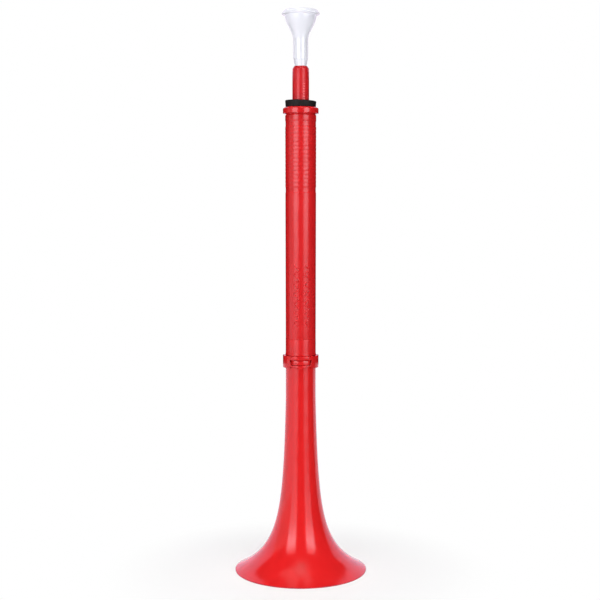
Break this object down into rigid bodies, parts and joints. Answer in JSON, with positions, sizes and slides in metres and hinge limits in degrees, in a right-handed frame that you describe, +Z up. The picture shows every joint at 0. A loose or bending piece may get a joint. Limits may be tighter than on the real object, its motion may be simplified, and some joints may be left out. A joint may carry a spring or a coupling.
{
  "type": "plastic trombone",
  "caption": "Straight plastic slide trombone for beginners: cup mouthpiece on a thin slide tube that draws out of a long ringed barrel, locked by a bayonet collar to a flared bell",
  "frame": {"origin": "the centre of the bell's rim, on the surface that the horn stands on", "axes": "+Z runs up the horn from the bell to the mouthpiece, -Y is the front with the joint collar's window and the grip bars, +X is to the right seen from the front"},
  "size_m": [0.1292, 0.1292, 0.5461],
  "materials": {
    "red_plastic": "glossy moulded plastic, bright red all through",
    "white_plastic": "glossy moulded plastic, cool white",
    "inner_plastic": "plain off-white moulded plastic, hidden inside",
    "black_rubber": "dull black moulded rubber"
  },
  "bodies": {
    "bell_body": {"bell": "red_plastic", "joint_collar": "red_plastic"},
    "barrel_body": {"joint_spigot": "red_plastic", "joint_seal": "black_rubber", "barrel": "red_plastic", "barrel_cap": "red_plastic", "slide_bung": "black_rubber", "slide_guide": "inner_plastic"},
    "slide_seals": {"piston_seal_lower": "black_rubber", "piston_seal_upper": "black_rubber"},
    "slide": {"slide_piston": "inner_plastic", "slide_tube": "red_plastic"},
    "mouthpiece_body": {"mouthpiece": "white_plastic"}
  },
  "joints": [
    {"name": "bell_joint_twist", "type": "hinge", "parent": "bell_body", "child": "barrel_body", "pos_m": [0, 0, 0.2139], "axis": [0, 0, 1], "range_deg": [0, 90]},
    {"name": "slide_draw", "type": "slide", "parent": "barrel_body", "child": "slide_seals", "axis": [0, 0, 1], "range_m": [0, 0.187]},
    {"name": "slide_turn", "type": "hinge", "parent": "slide_seals", "child": "slide", "pos_m": [0, 0, 0.2363], "axis": [0, 0, 1], "continuous": true},
    {"name": "mouthpiece_pull", "type": "slide", "parent": "slide", "child": "mouthpiece_body", "axis": [0, 0, 1], "range_m": [0, 0.03]}
  ]
}
